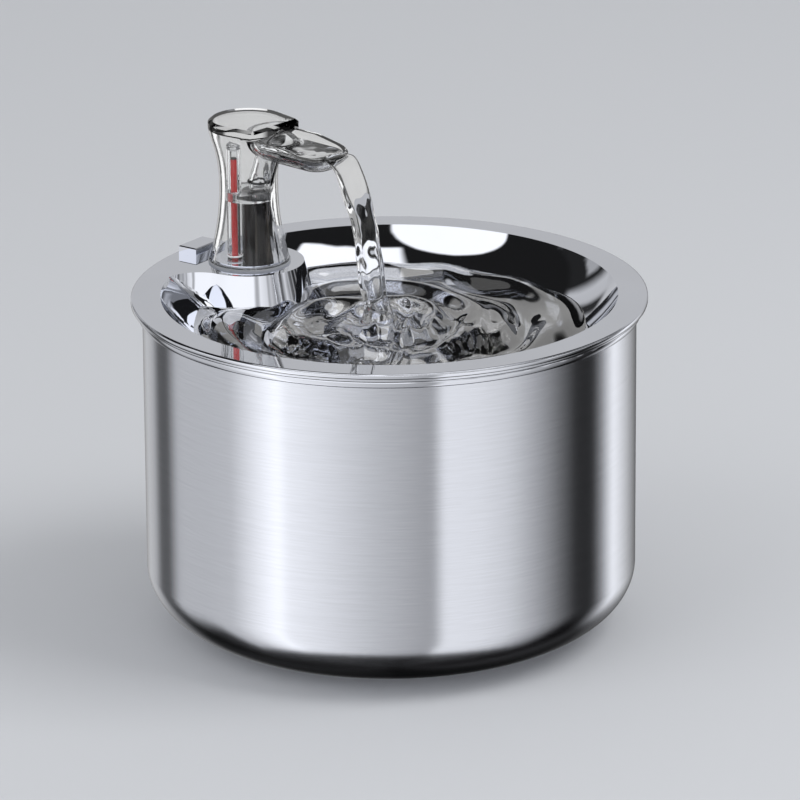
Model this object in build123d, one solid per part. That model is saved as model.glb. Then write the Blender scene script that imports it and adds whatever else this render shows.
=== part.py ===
"""Round steel pet water fountain: a brushed tank, a polished dish that lies on its rim,
a clear plug-in tap with a float gauge, and a pump in a filter box on the tank's floor.

Millimetres, +Z up. The origin is on the floor under the tank's axis. The tap stands over
+Y and its spout points towards -Y. Each piece is written to parts/NODE.step.
"""
from build123d import *
import os
from math import asin, cos, radians, sin, sqrt, tan

os.makedirs("parts", exist_ok=True)

# ---------------------------------------------------------------- fits
TOUCH = 0.05          # between two pieces of one body that fit inside each other
RUNNING = 0.05        # radial clearance of a shaft or a plug that slides
CLEAR = 0.3           # between pieces that move past each other

# ---------------------------------------------------------------- tank
SHEET = 0.8           # steel sheet of the tank and the dish
TANK_TO_RIM = 132.6   # underside of the tank to the top of the dish's flange
CORNER_REACH = 32.7   # the deep-drawn bottom corner, along the floor
CORNER_RISE = 24.0    # and up the wall
FOOT_H = 2.0          # rubber feet under the tank
FOOT_R = 7.0
FOOT_INSET = 5.9      # from a foot to the end of the flat floor
FOOT_COUNT = 4
UPPER_BEAD_DROP = 3.6  # lower edges of the two steps of the rolled rim, below the flange's top
LOWER_BEAD_DROP = 6.3
BEAD_STEP = 1.3       # how far the lower step stands back
CURL_GAP = 0.5        # between the curled edge and the wall

# ---------------------------------------------------------------- dish
TRAY_R = 100.0        # outside of the flange
TRAY_OVERHANG = 4.4   # how far the flange reaches over the tank's wall
FLANGE_W = 11.5
LIP_DROP = 2.0        # the flange's turned-down edge
DISH_DEPTH = 24.0
DISH_RIM_SLOPE = 55.0  # the bowl's slope at its edge, from level
LOBE_R = 21.5         # the round seat of the tap, part of the flange
LOBE_BLEND = 14.0     # curve between that seat and the flange's inner edge
LOBE_DRAFT = 16.0     # slope of the seat's wall, from upright
LOBE_FOOT_R = 4.0     # curve between that wall and the bowl
LOBE_RUNOUT = 1.2     # how far outside the flange's inner edge the blend would end
OVERFLOW_COUNT = 4    # slots in the seat's wall, which return water to the tank
OVERFLOW_W = 2.4
OVERFLOW_H = 7.0
OVERFLOW_SILL = 12.5  # the water's level, below the flange
OVERFLOW_AZIMUTH = -14.0  # middle of the row of slots about the tap, from +X
OVERFLOW_PITCH = 17.0
CORD_SLOT = (9.0, 4.6)    # along and across the flange
CORD_COVER = (15.0, 8.6, 3.4)
CORD_COVER_INSET = 0.4    # from the flange's inner edge
CORD_COVER_TURN = 1.5     # about the tank's axis

# ---------------------------------------------------------------- tap
TAP_INSET = 19.0      # the tap's axis from the flange's inner edge
TAP_TURN = -5.0       # how the tap stands in its round hole
TAP_WALL = 2.0
TAP_FOOT_R = 16.2
TAP_WAIST_R = 11.5
TAP_HEAD_R = 15.6
TAP_WAIST_Z = 31.0    # heights above the flange
TAP_HEAD_Z = 54.5
CAP_T = 3.5
CAP_BEVEL = (1.1, 1.3)    # down and in
CAP_FRONT = 15.7      # flat front edge of the head, ahead of the axis
CAP_FRONT_HALF_W = 13.1
CAP_CORNER_R = 1.7
GASKET_T = 0.8
SPOUT_R = 12.8        # outside of the trough, half its width
SPOUT_DEPTH = 9.9     # from its rim to its underside
SPOUT_RIM_Z = 54.0
SPOUT_START = 17.4    # centres of its round ends, ahead of the axis
SPOUT_END = 37.0
SPOUT_TIP_DROP = 3.6  # how far the rim falls at the tip
SPOUT_FALL_START = 26.0
NECK_R = 4.3          # the pipe that feeds the trough
NECK_BORE_R = 2.9
NECK_BEND_Z = 32.5    # where it starts to lean, and its end in the trough
NECK_END = (1.8, -10.7, 52.1)
CORE_R = 6.5          # the dark column inside the tap
CORE_AT = (3.6, -1.6)
CORE_TOP_Z = 26.0
FOOT_PLATE_T = 0.8    # polished plate inside the tap's foot
TAP_HOLE_R = 13.2     # hole in the dish's seat
PLUG_DEPTH = 7.0      # the part of the plate that stands in that hole
SEAL_T = 3.5
RISER_AT = (4.2, -2.0)    # water passage, from the tap's axis
RISER_BORE_R = 3.6
RISER_R = 5.0
RISER_SOCKET = 8.0    # how deep the pipe is plugged into the column
GAUGE_AT = (-5.4, 2.6)    # float gauge, from the tap's axis
GAUGE_R = 2.8
GAUGE_BORE_R = 1.6
GAUGE_BOTTOM_Z = -10.0
GAUGE_TOP_Z = 47.0
GAUGE_PLUG_IN = 0.8
GAUGE_PLUG_HEAD = 1.6
ROD_R = 1.2
ROD_TOP_Z = 43.5
FLOAT_R = 5.0
FLOAT_H = 22.0
FLOAT_TOP_Z = -18.6
ROD_IN_FLOAT = 6.0

# ---------------------------------------------------------------- filter box
BOX_SIZE = (48.0, 60.0)   # outside, across and along
BOX_CORNER_R = 10.0
BOX_WALL = 1.6
BOX_TOP_Z = 38.0
BOX_EDGE_R = 3.0
CUP_H = 5.0           # suction cups
CUP_R = 6.0
CUP_STEM_R = 2.6
CUP_X = 15.0
CUP_PITCH_Y = 26.0
LID_T = 2.0
LID_FRAME_H = 3.0
LID_FRAME_WALL = 1.2
SLOT_W = 2.2          # water slots of the box
SLOT_PITCH = 4.6
SLOT_H = 16.0
SLOT_Z = 15.0
CARTRIDGE_H = 9.0
CARTRIDGE_MARGIN = 5.2    # to the box's edges and to the sleeve's hole
CARTRIDGE_WALL = 1.2
CARTRIDGE_RIBS = 4
CARTRIDGE_CORNER_R = 4.0
FOAM_T = 9.6

# ---------------------------------------------------------------- pump
IMPELLER_OFFSET = 8.0     # impeller axis to the outlet's axis
VOLUTE_R = 13.5
VOLUTE_WALL = 1.6
SPIGOT_R = 4.9
SPIGOT_BORE_R = 3.2
SPIGOT_TOP_Z = 50.0
SLEEVE_R = 5.9        # silicone sleeve between the spigot and the riser pipe
SLEEVE_H = 9.4
SLEEVE_ON_PIPE = 3.0
MOTOR_H = 26.0
MOTOR_EDGE_R = 2.0
FIN_COUNT = 5
FIN_H = 0.8
FIN_T = 1.6
WELL_R = 6.6
MAGNET_R = 6.0
MAGNET_GAP = 3.0      # shorter than the well
SHAFT_R = 1.0
BUSH_R = 2.4
BUSH_L = 2.0
IMPELLER_R = 9.8
IMPELLER_HUB_R = 3.0
IMPELLER_DISC_T = 1.2
BLADE_T = 1.2
BLADE_COUNT = 4
INLET_R = 6.0
SPIDER_T = 1.2
GRILLE_R = 11.0
GRILLE_DEPTH = 3.0
GRILLE_WALL = 1.2
GRILLE_SLOT = 1.6
GRILLE_PITCH = 3.2
GATE = (9.0, 6.0, 1.0)    # across, up and thick
GATE_TRAVEL = 6.0
GATE_RAIL = 1.2
NUB = (2.4, 3.0, 1.2)
GLAND_R = 3.6
GLAND_BORE_R = 2.0
GLAND_L = 2.4

# ---------------------------------------------------------------- worked-out places
RIM_Z = FOOT_H + TANK_TO_RIM      # top of the dish's flange
TANK_R = TRAY_R - TRAY_OVERHANG   # outside of the tank's wall
TANK_IN_R = TANK_R - SHEET
FOOT_CIRCLE_R = TANK_R - CORNER_REACH - FOOT_R - FOOT_INSET
DISH_R = TRAY_R - FLANGE_W        # inner edge of the flange
CORD_COVER_INNER_Y = DISH_R + CORD_COVER_INSET
TAP_Y = DISH_R - TAP_INSET
BEAD_R = TRAY_R - SHEET - CLEAR   # outside of the tank's rolled rim
BOWL_R = DISH_DEPTH / (1 - cos(radians(DISH_RIM_SLOPE)))
BOWL_FLAT_R = DISH_R - BOWL_R * sin(radians(DISH_RIM_SLOPE))
BOX_FLOOR_Z = FOOT_H + SHEET + CUP_H
PUMP_FLOOR_Z = BOX_FLOOR_Z + BOX_WALL
AXIS_Z = PUMP_FLOOR_Z + VOLUTE_R
TAP = Location((0, TAP_Y, RIM_Z), (0, 0, TAP_TURN))
OUTLET = (TAP * Pos(RISER_AT[0], RISER_AT[1], 0)).position
IMPELLER_X = OUTLET.X - IMPELLER_OFFSET
VOLUTE_BACK = OUTLET.Y - SPIGOT_R - CLEAR / 2
VOLUTE_FRONT = OUTLET.Y + SPIGOT_R + CLEAR / 2
GATE_REACH = GRILLE_DEPTH + GATE[2] + NUB[2] + CLEAR
BOX_FAR_Y = VOLUTE_FRONT + GATE_REACH + CLEAR * 2 + BOX_WALL
BOX_NEAR_Y = BOX_FAR_Y - BOX_SIZE[1]
BOX_Y = (BOX_NEAR_Y + BOX_FAR_Y) / 2
FOAM_FRONT = BOX_NEAR_Y + BOX_WALL + FOAM_T
MOTOR_L = VOLUTE_BACK - FOAM_FRONT - GLAND_L - CLEAR * 2
MOTOR_W = BOX_SIZE[0] - 2 * (BOX_WALL + FIN_H + CLEAR * 2 + abs(IMPELLER_X))
WELL_END = VOLUTE_BACK - MOTOR_L + BUSH_L * 2
MAGNET_L = VOLUTE_BACK - WELL_END - MAGNET_GAP
CARTRIDGE_NEAR = BOX_NEAR_Y + CARTRIDGE_MARGIN
CARTRIDGE_FAR = OUTLET.Y - SLEEVE_R - CLEAR * 2 - CARTRIDGE_MARGIN
CARTRIDGE_Y = (CARTRIDGE_NEAR + CARTRIDGE_FAR) / 2
CARTRIDGE = (BOX_SIZE[0] - 2 * CARTRIDGE_MARGIN, CARTRIDGE_FAR - CARTRIDGE_NEAR, CARTRIDGE_H)
IMPELLER_BACK = VOLUTE_BACK + CLEAR * 2
IMPELLER_T = VOLUTE_FRONT - VOLUTE_WALL - CLEAR * 2 - IMPELLER_BACK
PIPE_BOTTOM_Z = SPIGOT_TOP_Z + TOUCH * 2
CUP_FAR_Y = sqrt((TANK_R - CORNER_REACH - CUP_R) ** 2 - CUP_X**2) - CLEAR
CUP_PLACES = [
    (x, y) for y in (CUP_FAR_Y - CUP_PITCH_Y, CUP_FAR_Y) for x in (-CUP_X, CUP_X)
]


def rod_z(radius, z_low, z_high, x=0.0, y=0.0):
    """An upright cylinder between two heights."""
    return Pos(x, y, z_low) * extrude(Circle(radius), z_high - z_low)


def rod_y(radius, y_low, y_high, x=0.0, z=0.0):
    """A level cylinder along Y between two places."""
    return Pos(x, y_low, z) * Rot(-90, 0, 0) * extrude(Circle(radius), y_high - y_low)


def block(x, y, z):
    """A box given by three (low, high) pairs."""
    corner = (Align.MIN, Align.MIN, Align.MIN)
    return Pos(x[0], y[0], z[0]) * Box(x[1] - x[0], y[1] - y[0], z[1] - z[0], align=corner)


# ---------------------------------------------------------------- tank and feet
def tank():
    """A deep-drawn pan with a stepped, rolled rim that is open underneath."""
    floor_z = FOOT_H
    wall_foot_z = floor_z + CORNER_RISE
    corner_r = TANK_R - CORNER_REACH
    top = RIM_Z - SHEET
    step = RIM_Z - UPPER_BEAD_DROP
    low = RIM_Z - LOWER_BEAD_DROP
    lower_r = BEAD_R - BEAD_STEP
    curl_r = TANK_R + CURL_GAP
    outside = EllipticalCenterArc((corner_r, wall_foot_z), CORNER_REACH, CORNER_RISE, 270)
    inside = EllipticalCenterArc(
        (corner_r, wall_foot_z), CORNER_REACH - SHEET, CORNER_RISE - SHEET, 270)
    rim = Polyline(
        outside @ 1,
        (TANK_R, top - SHEET),
        (BEAD_R - SHEET, top - SHEET),
        (BEAD_R - SHEET, step + SHEET / 2),
        (lower_r - SHEET, step + SHEET / 2),
        (lower_r - SHEET, low + SHEET),
        (curl_r, low + SHEET),
        (curl_r, low),
        (lower_r, low),
        (lower_r, step),
        (BEAD_R, step),
        (BEAD_R, top),
        (TANK_IN_R, top),
        inside @ 1,
    )
    floor = Polyline(inside @ 0, (0, floor_z + SHEET), (0, floor_z), outside @ 0)
    section = make_face([outside, rim, inside, floor])
    rounded = [v for v in section.vertices() if v.X > lower_r - TOUCH and v.Y in (low, step, top)]
    section = fillet(rounded, SHEET / 2)
    return revolve(Plane.XZ * section, Axis.Z)


def rubber_foot(index):
    """One stuck-on foot pad."""
    turn = 360 / FOOT_COUNT * (index + 0.5)
    pad = rod_z(FOOT_R, 0, FOOT_H, x=FOOT_CIRCLE_R)
    pad = chamfer(pad.edges().group_by(Axis.Z)[0], FOOT_H / 4)
    return Rot(0, 0, turn) * pad


# ---------------------------------------------------------------- dish
def bowl(grow):
    """The space over the bowl's sheet, or with grow its outside, as a solid below the flange."""
    radius = BOWL_R + grow
    centre_z = BOWL_R - DISH_DEPTH
    edge_r = BOWL_FLAT_R + sqrt(radius**2 - centre_z**2)
    half = asin((edge_r - BOWL_FLAT_R) / radius) / 2
    middle = (BOWL_FLAT_R + radius * sin(half), centre_z - radius * cos(half))
    low = -DISH_DEPTH - grow
    curve = ThreePointArc((BOWL_FLAT_R, low), middle, (edge_r, 0))
    sides = Polyline((edge_r, 0), (0, 0), (0, low), (BOWL_FLAT_R, low))
    return edge_r, revolve(Plane.XZ * make_face([curve, sides]), Axis.Z)


def seat_plan(grow):
    """Plan of the bowl's space: round, with the tap's seat reaching in as a smooth lobe."""
    outer = bowl(grow)[0] + LOBE_RUNOUT
    lobe, blend = LOBE_R - grow, LOBE_BLEND + grow
    to_axis, to_tap = outer - blend, lobe + blend
    y = (to_axis**2 - to_tap**2 + TAP_Y**2) / (2 * TAP_Y)
    centre = Vector(sqrt(to_axis**2 - y**2), y)
    tap = Vector(0, TAP_Y)
    on_rim = centre * (outer / to_axis)
    on_lobe = tap + (centre - tap) * (lobe / to_tap)
    middle = centre + ((on_rim - centre) + (on_lobe - centre)).normalized() * blend
    left = [Vector(-p.X, p.Y) for p in (on_rim, middle, on_lobe)]
    return make_face([
        ThreePointArc(left[0], (0, -outer), on_rim),
        ThreePointArc(on_rim, middle, on_lobe),
        ThreePointArc(on_lobe, (0, TAP_Y - lobe), left[2]),
        ThreePointArc(left[2], left[1], left[0]),
    ])


def dish_space(grow):
    """The bowl's space less the tap's seat, whose sloping wall runs into the bowl in a curve."""
    prism = extrude(seat_plan(grow), -DISH_DEPTH - grow - SHEET, taper=LOBE_DRAFT)
    space = bowl(grow)[1] & prism
    walls = [f.edges() for f in space.faces() if f.geom_type == GeomType.CONE]
    foot = [
        e for e in space.edges()
        if e.center().Z < -SHEET and sum(any(e.is_same(w) for w in wall) for wall in walls) == 1
    ]
    return fillet(foot, LOBE_FOOT_R + grow)


def tray():
    """The pressed dish: flange with a turned-down edge, bowl, tap seat, slots and holes."""
    plate = rod_z(TRAY_R, -SHEET, 0)
    lip = rod_z(TRAY_R, -LIP_DROP, 0) - rod_z(TRAY_R - SHEET, -LIP_DROP, 0)
    sheet = plate + lip
    sheet = fillet(sheet.edges().filter_by(GeomType.CIRCLE).group_by(Axis.Z)[-1], SHEET * 0.9)
    sheet = sheet + dish_space(SHEET) - dish_space(0)
    sheet -= rod_z(TAP_HOLE_R, -LIP_DROP, LIP_DROP, y=TAP_Y)
    sheet -= overflow_slots()
    slot_y = (CORD_COVER_INNER_Y + SHEET, CORD_COVER_INNER_Y + SHEET + CORD_SLOT[1])
    slot = block((-CORD_SLOT[0] / 2, CORD_SLOT[0] / 2), slot_y, (-LIP_DROP, LIP_DROP))
    sheet -= Rot(0, 0, CORD_COVER_TURN) * slot
    return Pos(0, 0, RIM_Z) * sheet


def overflow_slots():
    """Upright round-ended slots through the wall of the tap's seat."""
    cutters = []
    start = LOBE_R - 2 * SHEET
    reach = 4 * SHEET + OVERFLOW_SILL * tan(radians(LOBE_DRAFT))
    for i in range(OVERFLOW_COUNT):
        turn = OVERFLOW_AZIMUTH + (i - (OVERFLOW_COUNT - 1) / 2) * OVERFLOW_PITCH
        slot = Rot(0, 90, 0) * extrude(SlotOverall(OVERFLOW_H, OVERFLOW_W), reach)
        place = Pos(start, 0, OVERFLOW_H / 2 - OVERFLOW_SILL)
        cutters.append(Pos(0, TAP_Y, 0) * Rot(0, 0, turn) * place * slot)
    return Compound(cutters)


def cord_outlet_cover():
    """A low steel hood over the cord's slot, open below and at its outer end."""
    length, width, height = CORD_COVER
    low_y = CORD_COVER_INNER_Y
    hood = block((-length / 2, length / 2), (low_y, low_y + width), (0, height))
    hood = chamfer(hood.edges().group_by(Axis.Z)[-1], SHEET / 2)
    inner = (length / 2 - SHEET, low_y + SHEET, height - SHEET)
    hood -= block((-inner[0], inner[0]), (inner[1], low_y + width + SHEET), (-SHEET, inner[2]))
    return Pos(0, 0, RIM_Z) * Rot(0, 0, CORD_COVER_TURN) * hood


# ---------------------------------------------------------------- tap
def tap_radius(z):
    """Outer radius of the hourglass at a height above the flange."""
    end_r, end_z = (TAP_FOOT_R, 0.0) if z < TAP_WAIST_Z else (TAP_HEAD_R, TAP_HEAD_Z)
    rise, span = end_r - TAP_WAIST_R, abs(end_z - TAP_WAIST_Z)
    curve_r = (rise**2 + span**2) / (2 * rise)
    return TAP_WAIST_R + curve_r - sqrt(curve_r**2 - (z - TAP_WAIST_Z) ** 2)


def tap_section(z, inset=0.0):
    """Plan of the tap at a height: round, and squared off in front towards the head."""
    radius = tap_radius(z)
    squared = max(0.0, (z - TAP_WAIST_Z) / (TAP_HEAD_Z - TAP_WAIST_Z)) ** 2
    nearly_round = (1.0, radius * 1.004, 5.0)
    head = (CAP_FRONT_HALF_W, CAP_FRONT, CAP_CORNER_R)
    half_w, front, corner = (a + (b - a) * squared for a, b in zip(nearly_round, head))
    front = max(front, radius * 1.004)
    half_w, front, radius = half_w - inset * squared, front - inset, radius - inset
    flat = Line((-half_w, -front), (half_w, -front))
    plan = make_hull([Circle(radius).edge(), flat])
    corners = plan.vertices().group_by(Axis.Y)[0]
    return Pos(0, 0, z) * fillet(corners, max(corner - inset * squared, 0.5))


def tap_column(inset, z_low, z_high):
    """The hourglass as a solid, or with inset the space inside it."""
    heights = [z_low, (z_low + TAP_WAIST_Z) / 2, TAP_WAIST_Z, (TAP_WAIST_Z + z_high) / 2, z_high]
    return loft([tap_section(z, inset) for z in heights])


def trough(inset):
    """The trough with its two round ends, half of a flattened rod, or with inset the space inside it."""
    radius = SPOUT_R - inset
    length = SPOUT_END - SPOUT_START
    whole = Pos(0, -SPOUT_START, 0) * Rot(90, 0, 0) * extrude(Circle(radius), length)
    for end in (SPOUT_START, SPOUT_END):
        whole += Pos(0, -end, 0) * Sphere(radius)
    below = block((-2 * SPOUT_R, 2 * SPOUT_R), (-2 * SPOUT_END, SPOUT_R), (-2 * SPOUT_R, 0))
    flattened = scale(whole & below, by=(1, 1, (SPOUT_DEPTH - inset) / radius))
    return Pos(0, 0, SPOUT_RIM_Z) * flattened


def neck(radius):
    """The pipe from the seal to the trough: upright first, then leaning forwards."""
    foot = Vector(RISER_AT[0], RISER_AT[1], NECK_BEND_Z)
    lean = Vector(*NECK_END) - foot
    pipe = rod_z(radius, CORE_TOP_Z + SEAL_T + TOUCH, NECK_BEND_Z, *RISER_AT)
    pipe += Pos(foot) * Sphere(radius)
    return pipe + Plane(origin=foot, z_dir=lean) * extrude(Circle(radius), lean.length)


def spout_cut():
    """What is cut away over the trough: its rim falls towards the tip."""
    tip = SPOUT_END + SPOUT_R
    far = tip + SPOUT_R
    slope = SPOUT_TIP_DROP / (tip - SPOUT_FALL_START)
    side = Polyline(
        (-SPOUT_FALL_START, SPOUT_RIM_Z),
        (-far, SPOUT_RIM_Z - slope * (far - SPOUT_FALL_START)),
        (-far, SPOUT_RIM_Z + SPOUT_R),
        (-SPOUT_FALL_START, SPOUT_RIM_Z + SPOUT_R),
        close=True,
    )
    return extrude(Plane.YZ * make_face(side), SPOUT_R * 2, both=True)


def tap_shell():
    """The clear body: a hollow hourglass, open below and on top, with a notch for the trough."""
    body = tap_column(0, GASKET_T, TAP_HEAD_Z) - tap_column(TAP_WALL, GASKET_T, TAP_HEAD_Z)
    half_w = SPOUT_R + TOUCH
    above = block((-half_w, half_w), (-SPOUT_END, -SPOUT_START / 2), (SPOUT_RIM_Z, TAP_HEAD_Z))
    return TAP * (body - trough(-TOUCH) - above)


def spout():
    """The clear trough, dropped into the body's notch, and the neck that feeds it."""
    inside = neck(NECK_R) & tap_column(TAP_WALL + TOUCH, GASKET_T, TAP_HEAD_Z)
    return TAP * (trough(0) + inside - trough(TAP_WALL) - neck(NECK_BORE_R) - spout_cut())


def tap_cap():
    """The flat, bevelled plate that closes the top."""
    plan = Pos(0, 0, -TAP_HEAD_Z) * tap_section(TAP_HEAD_Z)
    plate = extrude(plan, CAP_T)
    plate = chamfer(plate.faces().sort_by(Axis.Z)[-1].edges(), CAP_BEVEL[0], CAP_BEVEL[1])
    return TAP * Pos(0, 0, TAP_HEAD_Z) * plate


def foot_gasket():
    """The flat seal between the tap and its seat."""
    return TAP * (rod_z(TAP_FOOT_R - TOUCH, 0, GASKET_T) - rod_z(TAP_HOLE_R, 0, GASKET_T))


def riser_core():
    """The dark column beside the gauge, with the water's passage and the riser pipe's socket."""
    core = column_outline(0)
    core -= rod_z(RISER_BORE_R, -PLUG_DEPTH, CORE_TOP_Z, *RISER_AT)
    core -= rod_z(RISER_R + TOUCH, -PLUG_DEPTH, RISER_SOCKET - PLUG_DEPTH, *RISER_AT)
    return TAP * core


def column_outline(grow):
    """The column without its passage, or with grow the hole that it stands in."""
    plate_top = GASKET_T + FOOT_PLATE_T
    room = rod_z(TAP_WAIST_R - TAP_WALL - TOUCH + grow, plate_top, CORE_TOP_Z)
    room += rod_z(TAP_HOLE_R - CLEAR, -PLUG_DEPTH, plate_top)
    return room & rod_z(CORE_R + grow, -PLUG_DEPTH, CORE_TOP_Z, *CORE_AT)


def foot_plate():
    """The polished plate in the tap's foot, with the plug that stands in the dish's hole."""
    top = GASKET_T + FOOT_PLATE_T
    plate = rod_z(tap_radius(top) - TAP_WALL - 2 * TOUCH, GASKET_T, top)
    plate += rod_z(TAP_HOLE_R - CLEAR, -PLUG_DEPTH, GASKET_T)
    plate -= column_outline(TOUCH)
    return TAP * (plate - rod_z(GAUGE_R + TOUCH, -PLUG_DEPTH, top, *GAUGE_AT))


def waist_seal():
    """The silicone collar on the column, which closes the tap's waist."""
    top = CORE_TOP_Z + SEAL_T
    collar = rod_z(TAP_WAIST_R - TAP_WALL - TOUCH, CORE_TOP_Z, top)
    collar -= rod_z(RISER_BORE_R, CORE_TOP_Z, top, *RISER_AT)
    collar -= rod_z(GAUGE_R + TOUCH, CORE_TOP_Z, top, *GAUGE_AT)
    return TAP * collar


def level_tube():
    """The clear tube that the gauge's rod stands in."""
    tube = rod_z(GAUGE_R, GAUGE_BOTTOM_Z, GAUGE_TOP_Z)
    tube -= rod_z(GAUGE_BORE_R, GAUGE_BOTTOM_Z, GAUGE_TOP_Z)
    return TAP * Pos(GAUGE_AT[0], GAUGE_AT[1], 0) * tube


def level_tube_plug():
    """The stopper on the tube."""
    head = rod_z(GAUGE_R, GAUGE_TOP_Z, GAUGE_TOP_Z + GAUGE_PLUG_HEAD)
    head = fillet(head.edges().group_by(Axis.Z)[-1], GAUGE_PLUG_HEAD / 3)
    shank = rod_z(GAUGE_BORE_R - TOUCH, GAUGE_TOP_Z - GAUGE_PLUG_IN, GAUGE_TOP_Z)
    return TAP * Pos(GAUGE_AT[0], GAUGE_AT[1], 0) * (head + shank)


def riser_pipe():
    """The pipe from the pump's sleeve up into the column."""
    top = RIM_Z - PLUG_DEPTH + RISER_SOCKET - TOUCH
    pipe = rod_z(RISER_R, PIPE_BOTTOM_Z, top) - rod_z(RISER_BORE_R, PIPE_BOTTOM_Z, top)
    return Pos(OUTLET.X, OUTLET.Y, 0) * pipe


def outlet_sleeve():
    """The silicone sleeve on the pipe's end, which slips over the pump's spigot."""
    top = PIPE_BOTTOM_Z + SLEEVE_ON_PIPE
    low = top - SLEEVE_H
    sleeve = rod_z(SLEEVE_R, low, top) - rod_z(SPIGOT_R + RUNNING, low, PIPE_BOTTOM_Z)
    sleeve -= rod_z(RISER_R + TOUCH, PIPE_BOTTOM_Z, top)
    sleeve = chamfer(sleeve.edges().group_by(Axis.Z)[0].sort_by(SortBy.LENGTH)[-1], TAP_WALL / 5)
    return Pos(OUTLET.X, OUTLET.Y, 0) * sleeve


def float_rod():
    """The red rod that shows the water's level."""
    low = FLOAT_TOP_Z - ROD_IN_FLOAT
    rod = rod_z(ROD_R, low, ROD_TOP_Z)
    rod = fillet(rod.edges().group_by(Axis.Z)[-1], ROD_R / 2)
    return TAP * Pos(GAUGE_AT[0], GAUGE_AT[1], 0) * rod


def float_body():
    """The foam float on the rod's lower end."""
    body = rod_z(FLOAT_R, FLOAT_TOP_Z - FLOAT_H, FLOAT_TOP_Z)
    body = fillet(body.edges(), FLOAT_R / 4)
    body -= rod_z(ROD_R, FLOAT_TOP_Z - ROD_IN_FLOAT, FLOAT_TOP_Z)
    return TAP * Pos(GAUGE_AT[0], GAUGE_AT[1], 0) * body


# ---------------------------------------------------------------- filter box
def box_plan(inset):
    """Plan of the filter box, inset by a wall."""
    return RectangleRounded(BOX_SIZE[0] - 2 * inset, BOX_SIZE[1] - 2 * inset, BOX_CORNER_R - inset)


def filter_box():
    """The open box that holds the pump and the foam, with water slots on three sides."""
    box = Pos(0, 0, BOX_FLOOR_Z) * extrude(box_plan(0), BOX_TOP_Z - BOX_FLOOR_Z)
    box = fillet(box.edges().group_by(Axis.Z)[0], BOX_EDGE_R)
    box -= Pos(0, 0, PUMP_FLOOR_Z) * extrude(box_plan(BOX_WALL), BOX_TOP_Z - PUMP_FLOOR_Z)
    slot = Pos(0, 0, SLOT_Z + SLOT_H / 2) * Box(SLOT_W, BOX_WALL * 3, SLOT_H)
    across = int((BOX_SIZE[0] - 2 * BOX_CORNER_R) / SLOT_PITCH)
    for i in range(across + 1):
        box -= Pos((i - across / 2) * SLOT_PITCH, -BOX_SIZE[1] / 2, 0) * slot
    side = int((BOX_SIZE[1] / 2 - BOX_CORNER_R) / SLOT_PITCH)
    for x in (-BOX_SIZE[0] / 2, BOX_SIZE[0] / 2):
        for i in range(side + 1):
            box -= Pos(x, -i * SLOT_PITCH, 0) * Rot(0, 0, 90) * slot
    return Pos(0, BOX_Y, 0) * box


def suction_cup(index):
    """One cup under the filter box."""
    low = FOOT_H + SHEET
    profile = Polyline(
        (0, low + CUP_H / 4),
        (CUP_R - CUP_H / 4, low),
        (CUP_R, low),
        (CUP_STEM_R, low + CUP_H * 0.6),
        (CUP_STEM_R, low + CUP_H),
        (0, low + CUP_H),
        close=True,
    )
    return Pos(*CUP_PLACES[index]) * revolve(Plane.XZ * make_face(profile), Axis.Z)


def grid_windows(thickness):
    """The windows between the bars under the cartridge, as cutters through a plate on z 0."""
    pitch = (CARTRIDGE[0] - 2 * CARTRIDGE_CORNER_R) / CARTRIDGE_RIBS
    window = Box(pitch - CARTRIDGE_WALL, CARTRIDGE[1] - 2 * CARTRIDGE_CORNER_R, 3 * thickness)
    return Compound([
        Pos((i - (CARTRIDGE_RIBS - 1) / 2) * pitch, 0, 0) * window for i in range(CARTRIDGE_RIBS)
    ])


def filter_box_lid():
    """The box's lid: a plate with a hole for the sleeve and a framed grid for the cartridge."""
    plate = Pos(0, BOX_Y, BOX_TOP_Z) * extrude(box_plan(0), LID_T)
    plate = fillet(plate.edges().group_by(Axis.Z)[-1], LID_T / 2)
    width, length = CARTRIDGE[0] + 2 * CLEAR, CARTRIDGE[1] + 2 * CLEAR
    frame = RectangleRounded(
        width + 2 * LID_FRAME_WALL, length + 2 * LID_FRAME_WALL, CARTRIDGE_CORNER_R + LID_FRAME_WALL)
    frame -= RectangleRounded(width, length, CARTRIDGE_CORNER_R)
    plate += Pos(0, CARTRIDGE_Y, BOX_TOP_Z) * extrude(frame, LID_T + LID_FRAME_H)
    plate -= rod_z(SLEEVE_R + CLEAR * 2, BOX_TOP_Z, BOX_TOP_Z + LID_T, OUTLET.X, OUTLET.Y)
    return plate - Pos(0, CARTRIDGE_Y, BOX_TOP_Z) * grid_windows(LID_T)


def foam_prefilter():
    """The block of foam behind the box's slotted end."""
    height = BOX_TOP_Z - PUMP_FLOOR_Z - CLEAR
    inside = Pos(0, BOX_Y, PUMP_FLOOR_Z) * extrude(box_plan(BOX_WALL), height)
    half = BOX_SIZE[0] / 2
    return inside & block((-half, half), (BOX_NEAR_Y, FOAM_FRONT), (PUMP_FLOOR_Z, BOX_TOP_Z))


def cartridge_plan(inset):
    """Plan of the filter cartridge, inset by a wall."""
    return RectangleRounded(
        CARTRIDGE[0] - 2 * inset, CARTRIDGE[1] - 2 * inset, CARTRIDGE_CORNER_R - inset)


def cartridge_frame():
    """The cartridge's plastic frame, with bars under the pad."""
    low = BOX_TOP_Z + LID_T
    frame = extrude(cartridge_plan(0), CARTRIDGE[2])
    frame -= Pos(0, 0, CARTRIDGE_WALL) * extrude(cartridge_plan(CARTRIDGE_WALL), CARTRIDGE[2])
    return Pos(0, CARTRIDGE_Y, low) * (frame - grid_windows(CARTRIDGE_WALL))


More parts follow.
